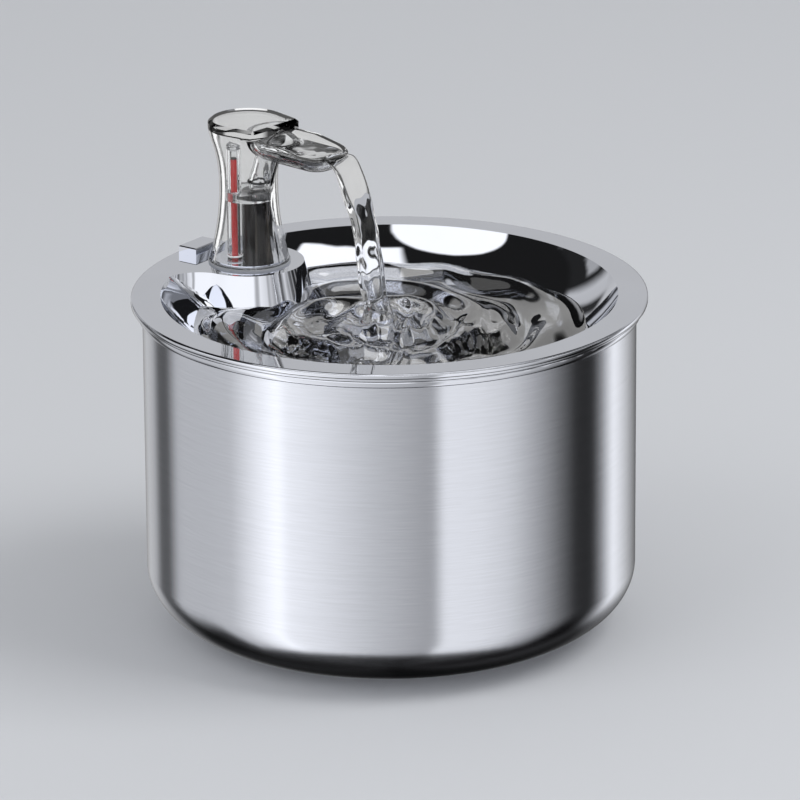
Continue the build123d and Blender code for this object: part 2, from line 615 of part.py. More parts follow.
def carbon_pad():
    """The pad of carbon and fleece in the frame."""
    low = BOX_TOP_Z + LID_T + CARTRIDGE_WALL
    pad = extrude(cartridge_plan(CARTRIDGE_WALL), CARTRIDGE[2] - CARTRIDGE_WALL * 2)
    return Pos(0, CARTRIDGE_Y, low) * pad


# ---------------------------------------------------------------- pump
def pump_volute():
    """The impeller's chamber, with its upright spigot and the inlet's spider."""
    wall_y = VOLUTE_FRONT - VOLUTE_WALL
    foot_reach = VOLUTE_R * cos(radians(45))
    volute = rod_y(VOLUTE_R, VOLUTE_BACK, VOLUTE_FRONT)
    volute += block((-foot_reach, foot_reach), (VOLUTE_BACK, VOLUTE_FRONT), (-VOLUTE_R, -foot_reach))
    volute += rod_z(SPIGOT_R, 0, SPIGOT_TOP_Z - AXIS_Z, IMPELLER_OFFSET, OUTLET.Y)
    volute -= rod_y(VOLUTE_R - VOLUTE_WALL, VOLUTE_BACK, wall_y)
    volute -= rod_z(SPIGOT_BORE_R, 0, SPIGOT_TOP_Z - AXIS_Z, IMPELLER_OFFSET, OUTLET.Y)
    arm = Pos(0, wall_y + VOLUTE_WALL / 2, 0) * Box(2 * INLET_R, VOLUTE_WALL, SPIDER_T)
    spider = rod_y(BUSH_R + SPIDER_T, wall_y, VOLUTE_FRONT) + arm + Rot(0, 90, 0) * arm
    volute -= rod_y(INLET_R, wall_y, VOLUTE_FRONT) - spider
    volute -= rod_y(BUSH_R, wall_y, VOLUTE_FRONT)
    return Pos(IMPELLER_X, 0, AXIS_Z) * volute


def pump_housing():
    """The potted motor block with its rotor well and side fins."""
    back = VOLUTE_BACK - MOTOR_L
    half = MOTOR_W / 2
    z = (-VOLUTE_R, MOTOR_H - VOLUTE_R)
    motor = block((-half, half), (back, VOLUTE_BACK), z)
    motor = fillet(motor.edges().filter_by(Axis.Y), MOTOR_EDGE_R)
    fin = Box(MOTOR_W + 2 * FIN_H, FIN_T, MOTOR_H - 2 * MOTOR_EDGE_R)
    for i in range(FIN_COUNT):
        motor += Pos(0, back + (i + 0.5) * MOTOR_L / FIN_COUNT, sum(z) / 2) * fin
    motor -= rod_y(WELL_R, WELL_END, VOLUTE_BACK)
    motor -= rod_y(BUSH_R, WELL_END - BUSH_L, WELL_END)
    return Pos(IMPELLER_X, 0, AXIS_Z) * motor


def bush(y_low, y_high):
    """A bush for one end of the shaft."""
    ring = rod_y(BUSH_R, y_low, y_high) - rod_y(SHAFT_R, y_low, y_high)
    return Pos(IMPELLER_X, 0, AXIS_Z) * ring


def rotor_shaft():
    """The ceramic shaft, held in the two bushes."""
    return Pos(IMPELLER_X, 0, AXIS_Z) * rod_y(SHAFT_R, WELL_END - BUSH_L, VOLUTE_FRONT)


def impeller():
    """Curved blades on a disc, with a bored hub."""
    low = IMPELLER_BACK
    high = low + IMPELLER_T
    wheel = rod_y(IMPELLER_HUB_R, low, high)
    wheel += rod_y(IMPELLER_R * 0.75, low, low + IMPELLER_DISC_T)
    sweep_r = IMPELLER_R * 0.8
    for i in range(BLADE_COUNT):
        outer = Pos(0, sweep_r) * Circle(sweep_r + BLADE_T / 2)
        inner = Pos(0, sweep_r) * Circle(sweep_r - BLADE_T / 2)
        lane = (outer - inner) & (Circle(IMPELLER_R) - Circle(IMPELLER_HUB_R / 2))
        lane = lane & (Pos(IMPELLER_R / 2, IMPELLER_R / 2) * Rectangle(IMPELLER_R, IMPELLER_R * 1.4))
        blade = extrude(lane, IMPELLER_T)
        wheel += Pos(0, low, 0) * Rot(0, 360 / BLADE_COUNT * i, 0) * Rot(-90, 0, 0) * blade
    wheel -= rod_y(SHAFT_R + RUNNING, low, high)
    return Pos(IMPELLER_X, 0, AXIS_Z) * wheel


def rotor_magnet():
    """The rotor's magnet, in the motor's well."""
    high = IMPELLER_BACK
    ring = rod_y(MAGNET_R, high - MAGNET_L, high) - rod_y(SHAFT_R + RUNNING, high - MAGNET_L, high)
    return Pos(IMPELLER_X, 0, AXIS_Z) * ring


def inlet_grille():
    """The strainer over the inlet, with rails for the flow gate."""
    front = VOLUTE_FRONT + GRILLE_DEPTH
    inner_r = GRILLE_R - GRILLE_WALL
    cup = rod_y(GRILLE_R, VOLUTE_FRONT, front) - rod_y(inner_r, VOLUTE_FRONT, front - GRILLE_WALL)
    slot_r = inner_r - GRILLE_WALL
    rows = int(slot_r / GRILLE_PITCH)
    for i in range(-rows, rows + 1):
        z = i * GRILLE_PITCH
        cup -= Pos(0, front, z) * Box(2 * sqrt(slot_r**2 - z**2), GRILLE_WALL * 3, GRILLE_SLOT)
    reach = (GATE[0] + GATE_TRAVEL) / 2
    z_in = GATE[1] / 2 + CLEAR
    z_out = z_in + GATE_RAIL
    hook = front + GATE[2] + CLEAR * 2
    rail = block((-reach, reach), (front - GRILLE_WALL, hook), (z_in, z_out))
    rail += block((-reach, reach), (hook, hook + GRILLE_WALL / 2), (z_in - CLEAR * 2, z_out))
    cup += rail + mirror(rail, Plane.XY)
    return Pos(IMPELLER_X, 0, AXIS_Z) * cup


def flow_gate():
    """The slide that covers part of the inlet, with a thumb nub."""
    front = VOLUTE_FRONT + GRILLE_DEPTH + CLEAR
    x = (-(GATE[0] + GATE_TRAVEL) / 2, (GATE[0] - GATE_TRAVEL) / 2)
    plate = block(x, (front, front + GATE[2]), (-GATE[1] / 2, GATE[1] / 2))
    nub = Pos(sum(x) / 2, front + GATE[2] + NUB[2] / 2, 0) * Box(NUB[0], NUB[2], NUB[1])
    return Pos(IMPELLER_X, 0, AXIS_Z) * (plate + nub)


def cable_gland():
    """The sealed outlet of the pump's lead."""
    back = VOLUTE_BACK - MOTOR_L
    ring = rod_y(GLAND_R, back - GLAND_L, back) - rod_y(GLAND_BORE_R, back - GLAND_L, back)
    return Pos(IMPELLER_X, 0, PUMP_FLOOR_Z + MOTOR_H / 2) * ring


# ---------------------------------------------------------------- all nodes
def all_parts():
    """Every node's name and solid."""
    parts = {
        "tank": tank(),
        "tray": tray(),
        "cord_outlet_cover": cord_outlet_cover(),
        "tap_shell": tap_shell(),
        "spout_trough": spout(),
        "tap_cap": tap_cap(),
        "foot_gasket": foot_gasket(),
        "foot_plate": foot_plate(),
        "riser_core": riser_core(),
        "waist_seal": waist_seal(),
        "level_tube": level_tube(),
        "level_tube_plug": level_tube_plug(),
        "riser_pipe": riser_pipe(),
        "outlet_sleeve": outlet_sleeve(),
        "float_rod": float_rod(),
        "float_body": float_body(),
        "filter_box": filter_box(),
        "filter_box_lid": filter_box_lid(),
        "foam_prefilter": foam_prefilter(),
        "cartridge_frame": cartridge_frame(),
        "carbon_pad": carbon_pad(),
        "pump_volute": pump_volute(),
        "pump_housing": pump_housing(),
        "front_bush": bush(VOLUTE_FRONT - VOLUTE_WALL, VOLUTE_FRONT),
        "rear_bush": bush(WELL_END - BUSH_L, WELL_END),
        "rotor_shaft": rotor_shaft(),
        "impeller": impeller(),
        "rotor_magnet": rotor_magnet(),
        "inlet_grille": inlet_grille(),
        "flow_gate": flow_gate(),
        "cable_gland": cable_gland(),
    }
    for i in range(FOOT_COUNT):
        parts[f"rubber_foot_{i + 1}"] = rubber_foot(i)
    for i in range(len(CUP_PLACES)):
        parts[f"suction_cup_{i + 1}"] = suction_cup(i)
    return parts


for node, solid in all_parts().items():
    export_step(solid, f"parts/{node}.step")
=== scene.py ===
"""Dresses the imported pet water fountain: steel, clear plastic, foam, running water and a studio."""

from math import atan2, cos, exp, hypot, pi, radians, sin, sqrt

import bpy
from bpy.props import FloatProperty, FloatVectorProperty, PointerProperty
from mathutils import Matrix, Vector, noise


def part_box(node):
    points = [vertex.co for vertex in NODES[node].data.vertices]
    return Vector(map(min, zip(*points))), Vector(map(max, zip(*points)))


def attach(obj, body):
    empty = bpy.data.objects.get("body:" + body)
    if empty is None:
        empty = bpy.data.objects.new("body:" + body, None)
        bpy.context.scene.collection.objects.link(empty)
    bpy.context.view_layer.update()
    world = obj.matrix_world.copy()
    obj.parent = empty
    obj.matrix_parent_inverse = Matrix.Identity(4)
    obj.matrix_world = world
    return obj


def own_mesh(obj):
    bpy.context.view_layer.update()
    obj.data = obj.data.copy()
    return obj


bl_info = {
    "name": "Pet water fountain",
    "version": (1, 0, 0),
    "blender": (4, 5, 0),
    "location": "View3D > Sidebar > Fountain",
    "description": "Finishes a steel pet fountain with a clear tap, and fills it with running water",
    "category": "Object",
}

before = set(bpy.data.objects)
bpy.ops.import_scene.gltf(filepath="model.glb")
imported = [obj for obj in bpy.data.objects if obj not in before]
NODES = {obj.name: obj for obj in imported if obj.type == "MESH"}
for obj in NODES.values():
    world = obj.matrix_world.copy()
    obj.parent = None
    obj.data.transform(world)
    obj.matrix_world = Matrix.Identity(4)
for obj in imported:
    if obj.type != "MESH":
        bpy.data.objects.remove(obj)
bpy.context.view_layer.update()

# Places read from the frame
TRAY_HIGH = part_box("tray")[1]
RIM_Z = TRAY_HIGH.z
RIM_R = TRAY_HIGH.x
GASKET_LOW, GASKET_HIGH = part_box("foot_gasket")
TAP_AXIS = (GASKET_LOW + GASKET_HIGH) / 2
TAP_TURN = radians(-5.0)
SPOUT_WAY = Vector((sin(TAP_TURN), -cos(TAP_TURN), 0.0))
TUBE_LOW, TUBE_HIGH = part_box("level_tube")
TUBE_AXIS = (TUBE_LOW + TUBE_HIGH) / 2
ROD_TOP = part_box("float_rod")[1].z

# The dish's bowl and the tap's seat, and the spout's trough ahead of the tap's axis
BOWL_DEPTH = 0.024
BOWL_R = 0.05628
BOWL_FLAT_R = 0.0424
SEAT_R = 0.0215
SEAT_SLOPE = 0.2867
TROUGH_R = 0.01078
TROUGH_DEPTH = 0.00788
TROUGH_START = 0.0174
TROUGH_END = 0.037
TROUGH_RIM = 0.054

# Rounded beads of the rims: depths below the flange of each one's upper and lower edge
TANK_BEADS = ((0.0019, 0.0036), (0.0036, 0.0064))
FLANGE_BEADS = ((0.0002, 0.0020),)
BEAD_SWELL = 0.25     # how far a bead stands out, as a share of half its height
TANK_GROOVE_SHADE = (0.26, 0.04)  # crowns at which the painted shade in the groove between beads begins and is fully dark
FLANGE_GROOVE_SHADE = (0.30, 0.10)
# grey of the painted shade in the grooves of both rims
GROOVE_SHADE_GREY = 0.03
ROLL_EDGE = (0.0067, 0.0064)  # depths between which the brushed wall turns into the polished roll
FLANGE_EDGE = (0.0015, 0.0008)  # how far in from the rim its own bead begins and is whole

# Trim of the tap: the collar on the gauge's tube, white as a painted highlight, and the neck's seal,
# heights above the flange
TUBE_R = (TUBE_HIGH.x - TUBE_LOW.x) / 2
GAUGE_RING_Z = 0.0028
GAUGE_RING_THICK = 0.0004
NECK_R = 0.0044
NECK_SEAL = (0.0020, 0.0042, 0.0322)  # ahead of and aside from the tap's axis, and up
NECK_SEAL_THICK = 0.0005
ROD_TIP = 0.0008      # length of the rod's black end
ROD_TIP_BLUR = 0.0001
TRIM_SIDES = 64
TRIM_SECTION_SIDES = 16

# Clear pieces
PLASTIC_IOR = 1.49
CAP_IOR = 1.30
LIGHT_THROUGH = 0.97  # share of the lamps' light that a clear piece lets through

# Water
WATER_IOR = 1.333
CLEAR_WATER = (0.985, 0.992, 1.0)
DEEP_WATER = (0.80, 0.805, 0.81)
GLEAM = 1.0           # of the coat that makes the pool mirror the studio more strongly
GLEAM_IOR = 2.8
SMOOTH_ANGLE = radians(60)

# Water in the dish
SUNK = 0.0002         # how far the pool reaches into the steel, so that no gap shows
POOL_RINGS = 150
POOL_SIDES = 360
POOL_BED_RINGS = 24
CALM_SHARE = 0.25     # share of the ripples that is left at the pool's edge
SEAT_CUTTER = 0.03    # height of the cone that cuts the tap's seat out of the pool
SEAT_CUTTER_SIDES = 160

# Ripples of the dish's water: heights as multiples of the ripple height, lengths in millimetres
CALM_EDGE = 0.012     # metres over which the ripples grow from the steel
DEPTH_SHARE = 0.42    # ripples are drawn out along the camera's view
WARP = (6, 0.05)      # how far and how finely the ripples wander
MOUND_HEIGHT = 2.6    # the mound at the stream's foot
MOUND_WIDTH = 5.5
RING_HEIGHT = 1.1     # rings round the foot
RING_LENGTH = 13
RING_FADE = 20
FOLD_HEIGHT = 1.9     # sharp folds
FOLD_FINENESS = 0.08
FOLD_WARP = 0.12
LOOP_HEIGHT = 0.5     # small loops among the folds
LOOP_FINENESS = 0.14
LOOP_SHIFT = Vector((4, 9, 0))
ROUGH_REACH = 18      # how far the folds reach, and how much further on their rough side
ROUGH_SIDE_REACH = 30
ROUGH_SIDE_TURN = -2.4  # that side's direction from the foot, in radians
SWIRL_HEIGHT = 1.4    # a spiral, its twist in radians for each millimetre
SWIRL_TWIST = 0.26
SWIRL_GROWTH = 18
SWIRL_WARP = 0.35
CRESCENT_HEIGHT = 1.3  # a crescent round the foot, lower on the rough side
CRESCENT_AWAY = 31
CRESCENT_WIDTH = 6.5
CRESCENT_LOSS = 0.6
CRESCENT_WARP = (6, 0.04)  # how far and how finely it wanders
FOOT_RISE = 1.3       # where the stream ends over the pool's level, as a multiple of the ripple height

# Water in the spout
TROUGH_LEVEL = 0.0513  # over the flange
TROUGH_STATIONS = 91
TROUGH_ACROSS = 40
TROUGH_WAVES = ((0.0007, 0.13), (0.0001, 0.3))  # height and fineness of each
DOME_AT = 0.0195      # where the water wells up, ahead of the tap's axis
DOME_HEIGHT = 0.0048
DOME_R = 0.0062
DOME_LUMPS = (0.12, 0.4)  # share of its height, and fineness

# Falling water
LIP_AT = 0.0490       # where the water leaves the spout
LIP_Z = 0.0512
STREAM_REACH = 0.0685
STREAM_CURVE = 156.6  # the fall divided by the square of the way ahead
STREAM_IN_SPOUT = [-0.003, -0.0018, -0.0008]  # stations in the spout, back from the lip
STREAM_STATIONS = 84
STREAM_SPACING = 1.5  # power by which the stations lie closer together at the lip
STREAM_SIDES = 56
STREAM_FOOT = 0.88    # share of the fall from which the stream spreads
STREAM_NARROWS = 0.22  # share of the width that the fall takes away
STREAM_SPREADS = 0.35  # and that the foot adds
LIP_DEPTH = 0.0009    # half the stream's depth at the lip
ROPE_DEPTH = 0.0021   # what the rope adds to it
FOOT_DEPTH = 0.0008   # and what the foot adds
ROPE_GROWTH = 2.2     # how soon the band becomes a rope
FLUTE_HEIGHT = 0.22   # long flutes, with their fineness round the stream and down it
FLUTES_ROUND = 1.6
FLUTES_DOWN = 55
LUMP_HEIGHT = 0.16    # and lumps
LUMPS_ROUND = 0.8
LUMPS_DOWN = 120
LUMP_SHIFT = 5
LIP_ROUGH = 0.25      # share of both that shows at the lip
ROUGH_GROWTH = 3      # how soon they grow

# Studio: softboxes on the ceiling, each with its two corners, as slopes to the right and towards the
# camera, and its brightness
WINDOW_BOX = ((-0.10, -0.40), (0.64, 0.33), 1.25)
FRONT_BOX = ((-1.60, 1.50), (1.60, 9.00), 1.20)
SIDE_BOX = ((0.85, -1.60), (2.20, 1.30), 0.24)
REAR_BOX = ((-0.47, -0.72), (0.47, -0.16), 0.24)
BOX_BLUR = 0.05
ROUND_BOX_AT = (-0.60, 0.67)
ROUND_BOX_EDGE = (0.60, 0.56)  # radii where it begins and where it is fully bright
ROUND_BOX_LIGHT = 1.25
CEILING_GREY = 0.012
LEAST_UP = 0.05       # keeps the slopes finite near the horizon

# Studio: lights round the walls and floor, by degrees to the right of the camera and degrees up
STREAKS_ACROSS = (60.0, 116.0, 4.0)  # narrow upright lights: from, to and how soft their ends are
STREAKS_LOW = (-6.0, -2.0)  # the streaks fade below this
STREAK_WAVES = 0.62   # radians of the streaks' wave for each degree
STREAK_LIGHT = 0.25
SCREEN_ACROSS = (-136.0, -120.0, 4.0)  # a pale grey screen: from, to and how soft its edges are
SCREEN_UP = (12.0, 23.0, 3.0)
SCREEN_LIGHT = 0.4
FLOOR_DARK = 0.97     # how much of the light is gone below the floor's edge
FLOOR_EDGE = (-49.0, -60.0)
FLOOR_EDGE_BEHIND = (-20.0, -44.0)
BEHIND = (85.0, 100.0)  # either way round, where the side away from the camera begins
WALL_TOP = (6.0, 10.0)  # where the lights of the wall give way to those over the rim
RIM_TOP = (28.0, 32.0)  # and those to the ceiling
GLASS_TOP = (4.0, 0.0)  # clear pieces bend the light below this
SKY = (0.66, 0.67, 0.69)  # the plain sky, for all but metal and glass

# Studio: lamps, each with its name, its place to the right, towards the camera and up, its size and
# its watts
LAMPS = (
    ("key_lamp", (1.1, 0.3, 1.5), 1.0, 14.0),
    ("fill_lamp", (-1.2, 0.9, 1.2), 1.4, 6.0),
)
FLOOR_SIZE = 14.0

# Camera: where it stands, how its lens sees, and how far off the rim's middle it is aimed, in
# millimetres on its sensor
CAMERA_AZIMUTH = radians(-52.0)
CAMERA_ELEVATION = radians(17.87)
CAMERA_DISTANCE = 2.5
CAMERA_ROLL = radians(-0.38)
LENS_MM = 290.9
SENSOR_MM = 36.0
AIM_RIGHT = 0.447
AIM_DOWN = 4.846
TOWARDS = Vector((sin(CAMERA_AZIMUTH), -cos(CAMERA_AZIMUTH), 0.0))
RIGHTWARDS = Vector((cos(CAMERA_AZIMUTH), sin(CAMERA_AZIMUTH), 0.0))
UPWARDS = Vector((0.0, 0.0, 1.0))
CAMERA_WAY = TOWARDS * cos(CAMERA_ELEVATION) + UPWARDS * sin(CAMERA_ELEVATION)


# ---------------------------------------------------------------- what a user may change
class FountainSizes(bpy.types.PropertyGroup):
    """Sizes of the water."""

    water_drop: FloatProperty(
        name="Water level", description="How far the water stands below the dish's flange",
        default=0.012, min=0.006, max=0.018, unit="LENGTH")
    stream_width: FloatProperty(
        name="Stream width", description="Width of the falling water at the spout",
        default=0.0145, min=0.004, max=0.018, unit="LENGTH")
    ripple_height: FloatProperty(
        name="Ripple height", description="Height of the ripples near the stream's foot",
        default=0.0016, min=0.0, max=0.004, unit="LENGTH")


class FountainColours(bpy.types.PropertyGroup):
    """Colours of the finishes."""

    steel: FloatVectorProperty(
        name="Steel", description="Colour of the stainless steel",
        subtype="COLOR", size=3, min=0.0, max=1.0, default=(0.748, 0.770, 0.838))
    rod: FloatVectorProperty(
        name="Gauge rod", description="Colour of the float gauge's rod",
        subtype="COLOR", size=3, min=0.0, max=1.0, default=(0.62, 0.012, 0.014))
    box: FloatVectorProperty(
        name="Filter box", description="Colour of the filter box's plastic",
        subtype="COLOR", size=3, min=0.0, max=1.0, default=(0.70, 0.72, 0.74))
    floor: FloatVectorProperty(
        name="Floor", description="Colour of the studio's floor",
        subtype="COLOR", size=3, min=0.0, max=1.0, default=(0.60, 0.61, 0.63))


# ---------------------------------------------------------------- shader sheets
class Field:
    """A number that varies over a surface: sums, products and so on add Math nodes."""

    def __init__(self, sheet, socket):
        self.sheet = sheet
        self.socket = socket

    def math(self, operation, *others):
        return self.sheet.math(operation, self, *others)

    def __add__(self, other):
        return self.math("ADD", other)

    __radd__ = __add__

    def __sub__(self, other):
        return self.math("SUBTRACT", other)

    def __rsub__(self, other):
        return self.sheet.math("SUBTRACT", other, self)

    def __mul__(self, other):
        return self.math("MULTIPLY", other)

    __rmul__ = __mul__

    def __truediv__(self, other):
        return self.math("DIVIDE", other)

    def __rtruediv__(self, other):
        return self.sheet.math("DIVIDE", other, self)

    def __abs__(self):
        return self.math("ABSOLUTE")

    def step(self, low, high):
        """0 below low and 1 above high, with a smooth change between; swap them to turn it round."""
        return self.sheet.node(
            "ShaderNodeMapRange", {"interpolation_type": "SMOOTHSTEP"},
            {"Value": self, "From Min": low, "From Max": high}, "Result")

    def ramp(self, stops):
        """Looks the number up in a ramp of (place, grey or colour) stops."""
        return self.sheet.node("ShaderNodeValToRGB", {"stops": stops}, {"Fac": self}, "Color")


class Sheet:
    """The node tree of a material or the world, with short calls that add nodes."""

    def __init__(self, owner):
        owner.use_nodes = True
        self.tree = owner.node_tree
        self.tree.nodes.clear()

    def node(self, kind, settings, sockets, output):
        """Adds a node, sets its properties, then its sockets by value or link; gives one output."""
        made = self.tree.nodes.new(kind)
        for name, value in settings.items():
            if name == "stops":
                self._set_stops(made.color_ramp, value)
            else:
                setattr(made, name, value)
        for name, value in sockets.items():
            if isinstance(value, Field):
                self.tree.links.new(value.socket, made.inputs[name])
            else:
                made.inputs[name].default_value = value
        return Field(self, made.outputs[output]) if output is not None else made

    @staticmethod
    def _set_stops(ramp, stops):
        for place, value in stops[2:]:
            ramp.elements.new(place)
        for element, (place, value) in zip(ramp.elements, sorted(stops, key=lambda stop: stop[0])):
            element.position = place
            element.color = (value, value, value, 1) if isinstance(value, float) else (*value, 1)

    def math(self, operation, *values):
        return self.node("ShaderNodeMath", {"operation": operation}, dict(enumerate(values)), "Value")

    def place(self, scale=(1.0, 1.0, 1.0)):
        """Object coordinates, each multiplied by its own number."""
        here = self.node("ShaderNodeTexCoord", {}, {}, "Object")
        sockets = {0: here, 1: scale}
        return self.node("ShaderNodeVectorMath", {"operation": "MULTIPLY"}, sockets, "Vector")

    def length(self, vector):
        return self.node("ShaderNodeVectorMath", {"operation": "LENGTH"}, {0: vector}, "Value")

    def height(self):
        """Height over the floor, with the part at rest."""
        return self.node("ShaderNodeSeparateXYZ", {}, {"Vector": self.place()}, "Z")

    def noise(self, scale, stretch=(1.0, 1.0, 1.0), detail=2.0):
        """Cloudy noise from 0 to 1 with that many cells to the metre."""
        sockets = {"Vector": self.place(stretch), "Scale": scale, "Detail": detail}
        return self.node("ShaderNodeTexNoise", {}, sockets, "Fac")

    def mix(self, share, a, b):
        """A colour between a and b."""
        sockets = {"Factor": share, "A": a, "B": b}
        made = self.node("ShaderNodeMix", {"data_type": "RGBA"}, {}, None)
        for name, value in sockets.items():
            wanted = "NodeSocketFloatFactor" if name == "Factor" else "NodeSocketColor"
            socket = next(s for s in made.inputs if s.name == name and s.bl_idname == wanted)
            if isinstance(value, Field):
                self.tree.links.new(value.socket, socket)
            else:
                socket.default_value = value
        return Field(self, next(s for s in made.outputs if s.bl_idname == "NodeSocketColor"))

    def ray(self, kind):
        """1 for that kind of ray, otherwise 0."""
        return self.node("ShaderNodeLightPath", {}, {}, kind)

    def bump(self, height, strength, distance):
        sockets = {"Height": height, "Strength": strength, "Distance": distance}
        return self.node("ShaderNodeBump", {}, sockets, "Normal")


def rgb(colour):
    """A socket's four numbers from a colour property or a grey."""
    return (colour, colour, colour, 1.0) if isinstance(colour, float) else (*colour, 1.0)


def surface(name, make_sockets, lets_light_in=False):
    """A material whose Principled shader gets the sockets that make_sockets(sheet) gives.

    With lets_light_in, lamps and soft light shine through it.
    """
    material = bpy.data.materials.new(name)
    sheet = Sheet(material)
    shader = sheet.node("ShaderNodeBsdfPrincipled", {}, make_sockets(sheet), "BSDF")
    if lets_light_in:
        open_way = sheet.node("ShaderNodeBsdfTransparent", {}, {"Color": rgb(LIGHT_THROUGH)}, "BSDF")
        share = sheet.ray("Is Shadow Ray").math("MAXIMUM", sheet.ray("Is Diffuse Ray"))
        shader = sheet.node("ShaderNodeMixShader", {}, {0: share, 1: shader, 2: open_way}, "Shader")
    sheet.node("ShaderNodeOutputMaterial", {}, {"Surface": shader}, None)
    return material


# ---------------------------------------------------------------- finishes
def rim_beads(sheet, beads):
    """Depth below the flange, the beads' swell in metres, and their crowns, 1 in the middle of each."""
    depth = RIM_Z - sheet.height()
    swell, crown = 0.0, 0.0
    for high, low in beads:
        half = (low - high) / 2
        off = (depth - (high + half)) / half
        round_over = (1.0 - off * off).math("MAXIMUM", 0.0)
        crown = sheet.math("MAXIMUM", crown, round_over)
        swell = sheet.math("MAXIMUM", swell, round_over * (half * BEAD_SWELL))
    return depth, swell, crown


def brushed_steel(sheet):
    """Steel brushed in fine level lines round its wall, and polished along its rolled rim, with painted
    shade in the grooves between the rim's beads.
    """
    steel = bpy.context.scene.fountain_colours.steel
    fine = sheet.noise(1.0, (90.0, 90.0, 5200.0), 3.0)
    broad = sheet.noise(1.0, (14.0, 14.0, 1500.0), 2.0)
    lines = fine * 0.7 + broad * 0.3
    dark = rgb(tuple(0.96 * c for c in steel))
    light = rgb(tuple(min(1.0, 1.02 * c) for c in steel))
    depth, swell, crown = rim_beads(sheet, TANK_BEADS)
    rolled = depth.step(*ROLL_EDGE)
    plain = sheet.mix(lines.step(0.35, 0.65), dark, light)
    # painted shade in the grooves between the rim's beads, darkest under the lower bead
    shadow = crown.step(*TANK_GROOVE_SHADE) * rolled * (depth.step(0.0045, 0.0062) * 0.25 + 0.7)
    return {
        "Base Color": sheet.mix(shadow, plain, rgb(GROOVE_SHADE_GREY)),
        "Metallic": 1.0,
        "Roughness": (lines * 0.07 + 0.13) * (1.0 - rolled) + rolled * 0.06,
        "Anisotropic": 0.8,
        "Anisotropic Rotation": 0.25,
        "Normal": sheet.bump(lines * 0.000017 * (1.0 - rolled) + swell * rolled, 1.0, 1.0),
    }


def polished_steel(sheet):
    """Steel with a mirror finish and the faintest haze, and painted shade under the bead of its rim."""
    steel = bpy.context.scene.fountain_colours.steel
    haze = sheet.noise(35.0, detail=4.0)
    depth, swell, crown = rim_beads(sheet, FLANGE_BEADS)
    inward = RIM_R - sheet.length(sheet.place((1.0, 1.0, 0.0)))
    lip = inward.step(*FLANGE_EDGE) * depth.step(0.0003, 0.0005)
    plain = sheet.mix(haze, rgb(tuple(steel)), rgb(tuple(min(1.0, 1.1 * c) for c in steel)))
    # painted shade in the groove under the flange's bead
    shadow = lip * crown.step(*FLANGE_GROOVE_SHADE) * depth.step(0.0010, 0.0014)
    return {
        "Base Color": sheet.mix(shadow * 0.6, plain, rgb(GROOVE_SHADE_GREY)),
        "Metallic": 1.0,
        "Roughness": haze * 0.03 + 0.015,
        "Normal": sheet.bump(swell * lip, 1.0, 1.0),
    }


def clear_plastic(ior):
    """A finish for a clear moulded plastic piece."""
    def sockets(sheet):
        flow = sheet.noise(60.0, detail=1.0)
        return {
            "Base Color": rgb((0.975, 0.98, 0.985)),
            "Roughness": flow * 0.015,
            "IOR": ior,
            "Specular Tint": rgb(0.45),
            "Transmission Weight": 1.0,
            "Normal": sheet.bump(flow, 0.03, 0.0003),
        }
    return sockets


def smoky_plastic(sheet):
    """Smoky black plastic, streaked from top to bottom."""
    streak = sheet.noise(1.0, (520.0, 520.0, 14.0), 3.0)
    dark, brown = rgb((0.006, 0.005, 0.005)), rgb((0.10, 0.085, 0.07))
    return {
        "Base Color": sheet.mix(streak.step(0.5, 0.72), dark, brown),
        "Roughness": streak * 0.1 + 0.1,
        "Specular IOR Level": 0.25,
    }


def clear_silicone(sheet):
    """Clear silicone with a milky haze."""
    haze = sheet.noise(120.0, detail=3.0)
    return {
        "Base Color": sheet.mix(haze, rgb((0.88, 0.89, 0.90)), rgb((0.95, 0.955, 0.96))),
        "Roughness": haze * 0.04 + 0.02,
        "Transmission Weight": 0.95,
        "IOR": 1.41,
    }


def moulded(colour, roughness, grain=0.15):
    """A finish for a moulded piece with a fine grain, as a spark-eroded mould leaves it."""
    def sockets(sheet):
        spark = sheet.noise(2600.0, detail=2.0)
        cloud = sheet.noise(40.0, detail=3.0)
        pale = tuple(min(1.0, c * 1.12 + 0.004) for c in colour)
        return {
            "Base Color": sheet.mix(cloud, rgb(tuple(colour)), rgb(pale)),
            "Roughness": cloud * 0.12 + roughness,
            "Normal": sheet.bump(spark, grain, 0.00004),
        }
    return sockets


def red_plastic(sheet):
    """Red plastic with a black upper end."""
    red = bpy.context.scene.fountain_colours.rod
    tip = ROD_TOP - ROD_TIP
    end = sheet.height().step(tip - ROD_TIP_BLUR, tip + ROD_TIP_BLUR)
    cloud = sheet.noise(150.0, detail=2.0)
    return {
        "Base Color": sheet.mix(end, rgb(tuple(red)), rgb(0.01)),
        "Roughness": cloud * 0.1 + 0.25,
        "Normal": sheet.bump(cloud, 0.05, 0.00005),
    }


def rubber(sheet):
    """Black rubber with a dusty bloom."""
    bloom = sheet.noise(220.0, detail=5.0)
    return {
        "Base Color": sheet.mix(bloom.step(0.45, 0.8), rgb(0.022), rgb((0.07, 0.07, 0.068))),
        "Roughness": bloom * 0.2 + 0.6,
        "Normal": sheet.bump(bloom, 0.3, 0.00008),
    }


def open_foam(sheet):
    """Open-cell filter foam."""
    cells = sheet.node("ShaderNodeTexVoronoi", {"feature": "DISTANCE_TO_EDGE"},
                       {"Vector": sheet.place(), "Scale": 900.0}, "Distance")
    wall = cells.step(0.22, 0.02)
    return {
        "Base Color": sheet.mix(wall, rgb((0.008, 0.009, 0.010)), rgb((0.10, 0.11, 0.12))),
        "Roughness": 0.9,
        "Normal": sheet.bump(wall, 1.0, 0.0006),
    }


